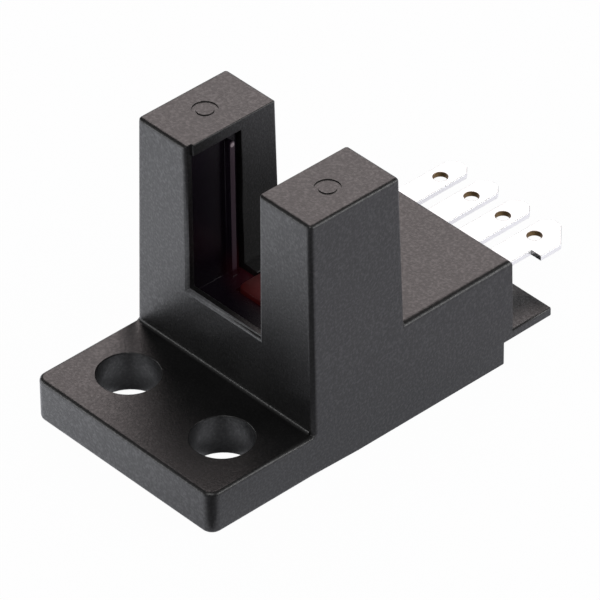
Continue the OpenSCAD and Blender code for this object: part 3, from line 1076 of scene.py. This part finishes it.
@dataclass
class Electronics:
    """The board, the optical packages and the parts on the board, which keep their solids."""

    leads: tuple[str, ...] = ("emitter_leads", "receiver_leads", "transistor_leads", "diode_leads")
    mouldings: tuple[str, ...] = ("output_transistor", "protection_diode")
    resistors: tuple[str, ...] = ("emitter_resistor", "indicator_resistor", "base_resistor")
    resistor_black: Colour = (0.02, 0.02, 0.025)
    capacitor_tan: Colour = (0.42, 0.27, 0.14)

    def build(self) -> None:
        """Dresses each inner solid in its own finish."""
        metal = DrawnMetal("lead_tin", (0.7, 0.7, 0.69), 0.3).make()
        finishes: dict[str, bpy.types.Material] = {
            "circuit_board": SolderMask("board_green", *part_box("circuit_board")).make(),
            "emitter": Resin("emitter_clear_resin", (0.5, 0.6, 0.75), 0.12, 0.6).make(),
            "receiver": Resin("receiver_black_resin", (0.012, 0.012, 0.016), 0.18).make(),
            "indicator": Resin("indicator_pale_resin", (0.8, 0.5, 0.45), 0.25, 0.3).make(),
            "solder_joints": DrawnMetal("joint_solder", (0.66, 0.66, 0.65), 0.22).make(),
        }
        for name in self.leads:
            finishes[name] = metal
        moulding = GrainedPlastic("component_black", roughness=0.5, grain=0.06 * MM).make()
        for name in self.mouldings:
            finishes[name] = moulding
        chips = {name: self.resistor_black for name in self.resistors}
        chips["supply_capacitor"] = self.capacitor_tan
        for name, body in chips.items():
            finishes[name] = ChipCeramic(f"{name}_chip", *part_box(name), body=body).make()
        for name, material in finishes.items():
            solid = frame["nodes"][name].data
            solid.materials.clear()
            solid.materials.append(material)
            LOG.info("%s: dressed in %s", name, material.name)


@dataclass(frozen=True)
class Lamp:
    """A soft rectangular lamp that looks at a point."""

    name: str
    place: tuple[float, float, float]
    aim: tuple[float, float, float]
    width: float
    height: float
    radiance: float
    colour: Colour = (1.0, 1.0, 1.0)

    def build(self) -> None:
        """Makes the lamp; its power is radiance times area times pi."""
        light = bpy.data.lights.new(self.name, "AREA")
        light.shape = "RECTANGLE"
        light.size = self.width
        light.size_y = self.height
        light.color = self.colour
        light.energy = self.radiance * self.width * self.height * math.pi
        lamp = bpy.data.objects.new(self.name, light)
        lamp.location = self.place
        away = Vector(self.place) - Vector(self.aim)
        lamp.rotation_euler = away.to_track_quat("Z", "Y").to_euler()
        lamp.visible_camera = False
        bpy.context.scene.collection.objects.link(lamp)
        LOG.info("%s: radiance %.2f", self.name, self.radiance)


@dataclass
class Studio:
    """The pale floor, the soft lamps, the white surroundings and the camera."""

    floor_radius: float = 1.2
    floor_rings: int = 24
    floor_sides: int = 96
    floor_lift: float = 0.02 * MM
    floor_colour: Colour = (0.78, 0.78, 0.86)
    floor_white: float = 0.975
    floor_gleam: tuple[float, float] = (0.29, 1.0)
    gleam_reach: float = 16.0 * MM
    gleam_turn: tuple[float, float] = (-0.6, 0.88)
    gleam_far: tuple[float, float] = (30.0 * MM, 120.0 * MM)
    gleam_tint: Colour = (1.56, 1.58, 1.67)
    # painted shade: the floor's dark zones, which only reflections see
    painted_shade_strength: float = 0.85
    painted_shade_edge: tuple[float, float] = (0.3, 0.65)
    painted_shade_black: Colour = (0.02, 0.02, 0.02)
    under_edge: float = 0.5 * MM
    under_rear: float = 3.5 * MM
    bore_edge: float = 0.9
    bore_band: tuple[float, float] = (0.12, 0.45)
    least_reach: float = 0.1 * MM
    card_low: tuple[float, float, float] = (-8.3 * MM, 3.4 * MM, 2.6 * MM)
    card_high: tuple[float, float, float] = (-6.8 * MM, 3.6 * MM, 15.0 * MM)
    card_grey: Colour = (0.3, 0.3, 0.31)
    card_columns: int = 17
    card_rows: int = 5
    sky: float = 0.15
    aim: tuple[float, float, float] = (0.0, 5.0 * MM, 5.0 * MM)
    azimuth_deg: float = 47.698
    elevation_deg: float = 37.7
    roll_deg: float = -0.7
    eye: tuple[float, float, float] = (0.196200, -0.169905, 0.209757)
    lens_mm: float = 393.3
    sensor_mm: float = 36.0

    def lamps(self) -> list[Lamp]:
        """The lamps of the studio."""
        warm = (1.0, 0.88, 0.875)
        return [
            Lamp("softbox_rear_left", (-0.378, 0.422, 0.44), self.aim, 0.5, 0.5, 2.65, warm),
            Lamp("softbox_front", (0.23, -0.36, 0.5), self.aim, 0.35, 0.35, 4.0),
            Lamp("strip_right", (0.45, 0.4, 0.2), self.aim, 0.6, 0.2, 5.5),
            Lamp("strip_left", (-0.45, -0.4, 0.05), self.aim, 0.6, 0.1, 5.0),
        ]

    def build(self) -> None:
        """Builds floor, card, lamps, surroundings and camera."""
        self._floor()
        self._card()
        for lamp in self.lamps():
            lamp.build()
        self._sky()
        self._camera()

    def _floor(self) -> None:
        """A flat round floor: radius times the cosine and sine of the angle, ring by ring.

        It lies a hair above the underside, so that the two faces never coincide.
        """
        rings = np.linspace(0.01, 1.0, self.floor_rings) ** 2 * self.floor_radius
        turn = np.arange(self.floor_sides) * (2.0 * math.pi / self.floor_sides)
        grid = rings[::-1, None, None] * np.stack([np.cos(turn), np.sin(turn), 0.0 * turn], axis=-1)
        grid[..., 2] = self.floor_lift
        mesh = ring_mesh("studio_floor", grid, footed=False)
        mesh.materials.append(self._floor_paint())
        floor = placed("studio_floor", mesh)
        LOG.info("studio_floor: radius %.2f m", self.floor_radius)

    def _card(self) -> None:
        """A dark card beside the left arm that only reflections see: a grid of height over length.

        It carries the arm's dark reflection on the flange a little further out. Its place across is the
        left edge plus the width times 1 less the square of the share of the length.
        """
        low, high = np.array(self.card_low), np.array(self.card_high)
        length, height = np.meshgrid(
            np.linspace(0.0, 1.0, self.card_columns), np.linspace(0.0, 1.0, self.card_rows)
        )
        share = np.stack([1.0 - length**2, length, height], axis=-1)
        points = (low + share * (high - low)).reshape(-1, 3)
        rows, columns = length.shape
        first = (np.arange(rows - 1)[:, None] * columns + np.arange(columns - 1)).ravel()
        faces = np.stack([first, first + 1, first + columns + 1, first + columns], axis=-1)
        mesh = bpy.data.meshes.new("studio_card")
        mesh.from_pydata(points.tolist(), [], faces.tolist())
        shader = Shader.named("card_grey")
        tone = shader.mix(shader.noise(2.0 * MM), self.card_grey, darker(self.card_grey, 0.9))
        mesh.materials.append(shader.shade(shader.node("ShaderNodeBsdfDiffuse", inputs={"Color": tone})))
        card = placed("studio_card", mesh)
        card.visible_camera = False
        card.visible_diffuse = False
        card.visible_shadow = False
        LOG.info("studio_card: %.0f mm high", (high[2] - low[2]) / MM)

    def _floor_paint(self) -> bpy.types.Material:
        """Pale paint that keeps the shadow, lifted towards white, and open from below.

        Reflections see it with painted reflection, brighter than white like an overexposed white sweep:
        most to the front left and at the sides of the two holes. Under the part and in front of it they
        see painted shade, dark like a black card.

        Returns:
            The floor's material.
        """
        shader = Shader.named("floor_pale")
        camera, mirrored = shader.seen()
        turn = math.radians(self.azimuth_deg)
        leftward = 0.0 - shader.axis("X") * math.cos(turn) - shader.axis("Y") * math.sin(turn)
        lit = self._bore_light(shader, leftward)
        # painted shade for reflections, in front of the part and under it, apart from the painted light
        # in the holes
        dark = self._in_front(shader).largest(self._under(shader) * (1.0 - lit))
        painted_shade = dark * mirrored * self.painted_shade_strength
        dim, bright = self.floor_gleam
        away = shader.distance(Vector()).step(*self.gleam_far)
        ends = (share * self.gleam_reach for share in self.gleam_turn)
        gleam = (dim + (bright - dim) * leftward.step(*ends).largest(away)).largest(lit)
        tone = shader.mix(shader.noise(0.05), self.floor_colour, darker(self.floor_colour, 0.98))
        paint = shader.node("ShaderNodeBsdfDiffuse", inputs={"Color": tone})
        black = shader.node("ShaderNodeBsdfDiffuse", inputs={"Color": opaque(self.painted_shade_black)})
        # painted reflection: reflections see the floor brighter than white
        cast = shader.mix(mirrored, (1.0, 1.0, 1.0), self.gleam_tint)
        white = shader.node("ShaderNodeEmission", inputs={"Color": cast, "Strength": 1.0})
        lift = camera * self.floor_white + mirrored * gleam
        lifted = shader.node("ShaderNodeMixShader", inputs={0: lift, 1: paint, 2: white})
        painted_shade_mix = shader.node("ShaderNodeMixShader", inputs={0: painted_shade, 1: lifted, 2: black})
        below = shader.node("ShaderNodeNewGeometry", output="Backfacing")
        clear = shader.node("ShaderNodeBsdfTransparent")
        return shader.shade(shader.node("ShaderNodeMixShader", inputs={0: below, 1: painted_shade_mix, 2: clear}))

    def _in_front(self, shader: Shader) -> Wire:
        """1 on the floor where the way from the flange's front right corner runs towards the camera.

        Args:
            shader: The floor's tree.

        Returns:
            The stepped cosine of the angle between that way and the camera's.
        """
        low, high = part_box("housing")
        turn = math.radians(self.azimuth_deg)
        across, along = shader.axis("X") - high.x, shader.axis("Y") - low.y
        reach = (across * across + along * along).root().largest(self.least_reach)
        # painted shade that reflections see in front of the part
        return ((across * math.sin(turn) - along * math.cos(turn)) / reach).step(*self.painted_shade_edge)

    def _under(self, shader: Shader) -> Wire:
        """1 on the floor under the part, with soft edges.

        Args:
            shader: The floor's tree.

        Returns:
            The product of three steps.
        """
        low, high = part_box("housing")
        # painted shade that reflections see under the part
        under = abs(shader.axis("X")).step(high.x, high.x - self.under_edge)
        under = under * shader.axis("Y").step(low.y, low.y + self.under_edge)
        return under * shader.axis("Y").step(high.y, high.y - self.under_rear)

    def _bore_light(self, shader: Shader, leftward: Wire) -> Wire:
        """1 on the floor inside a mounting hole, apart from a band through its middle.

        Args:
            shader: The floor's tree.
            leftward: How far a point lies to the camera's left of the origin.

        Returns:
            The step at the hole's edge times the step at the band's.
        """
        bolts = frame["record"]["mounts"][0]["dims"]
        half, radius = 0.5 * MM * bolts["spacing_x_mm"], MM * bolts["hole_r_mm"]
        aside = abs(shader.axis("X")) - half
        bore = (aside * aside + shader.axis("Y") * shader.axis("Y")).root()
        beside = abs(abs(leftward) - half * math.cos(math.radians(self.azimuth_deg)))
        band = (share * radius for share in self.bore_band)
        return bore.step(radius, self.bore_edge * radius) * beside.step(*band)

    def _sky(self) -> None:
        """White to the eye, and plain soft light on the object."""
        world = bpy.data.worlds.new("studio_white")
        bpy.context.scene.world = world
        shader = Shader(world)
        camera, _ = shader.seen()
        white = opaque((1.0, 1.0, 1.0))
        soft, bright = (
            shader.node("ShaderNodeBackground", inputs={"Color": white, "Strength": strength})
            for strength in (self.sky, 1.0)
        )
        mix = shader.node("ShaderNodeMixShader", inputs={0: camera, 1: soft, 2: bright})
        shader.node("ShaderNodeOutputWorld", inputs={"Surface": mix})

    def _camera(self) -> None:
        """The camera, turned by its azimuth, elevation and roll."""
        turn, lift, roll = (
            math.radians(value) for value in (self.azimuth_deg, self.elevation_deg, self.roll_deg)
        )
        ahead = Vector(
            (-math.sin(turn) * math.cos(lift), math.cos(turn) * math.cos(lift), -math.sin(lift))
        )
        right = Vector((math.cos(turn), math.sin(turn), 0.0))
        up = right.cross(ahead)
        side = math.cos(roll) * right + math.sin(roll) * up
        top = math.cos(roll) * up - math.sin(roll) * right
        data = bpy.data.cameras.new("photo_camera")
        data.lens = self.lens_mm
        data.sensor_width = self.sensor_mm
        data.clip_start = 0.01
        camera = bpy.data.objects.new("photo_camera", data)
        rotation = Matrix((side, top, -ahead)).transposed().to_4x4()
        camera.matrix_world = Matrix.Translation(self.eye) @ rotation
        bpy.context.scene.collection.objects.link(camera)
        bpy.context.scene.camera = camera


def main() -> None:
    """Builds the sensor's pieces in order, then the studio."""
    logging.basicConfig(level=logging.INFO, format="%(message)s")
    bpy.context.scene.view_settings.view_transform = "Standard"
    CaseShell().build()
    Closures().build()
    TerminalRow().build()
    Electronics().build()
    Studio().build()


if __name__ == "__main__":
    main()
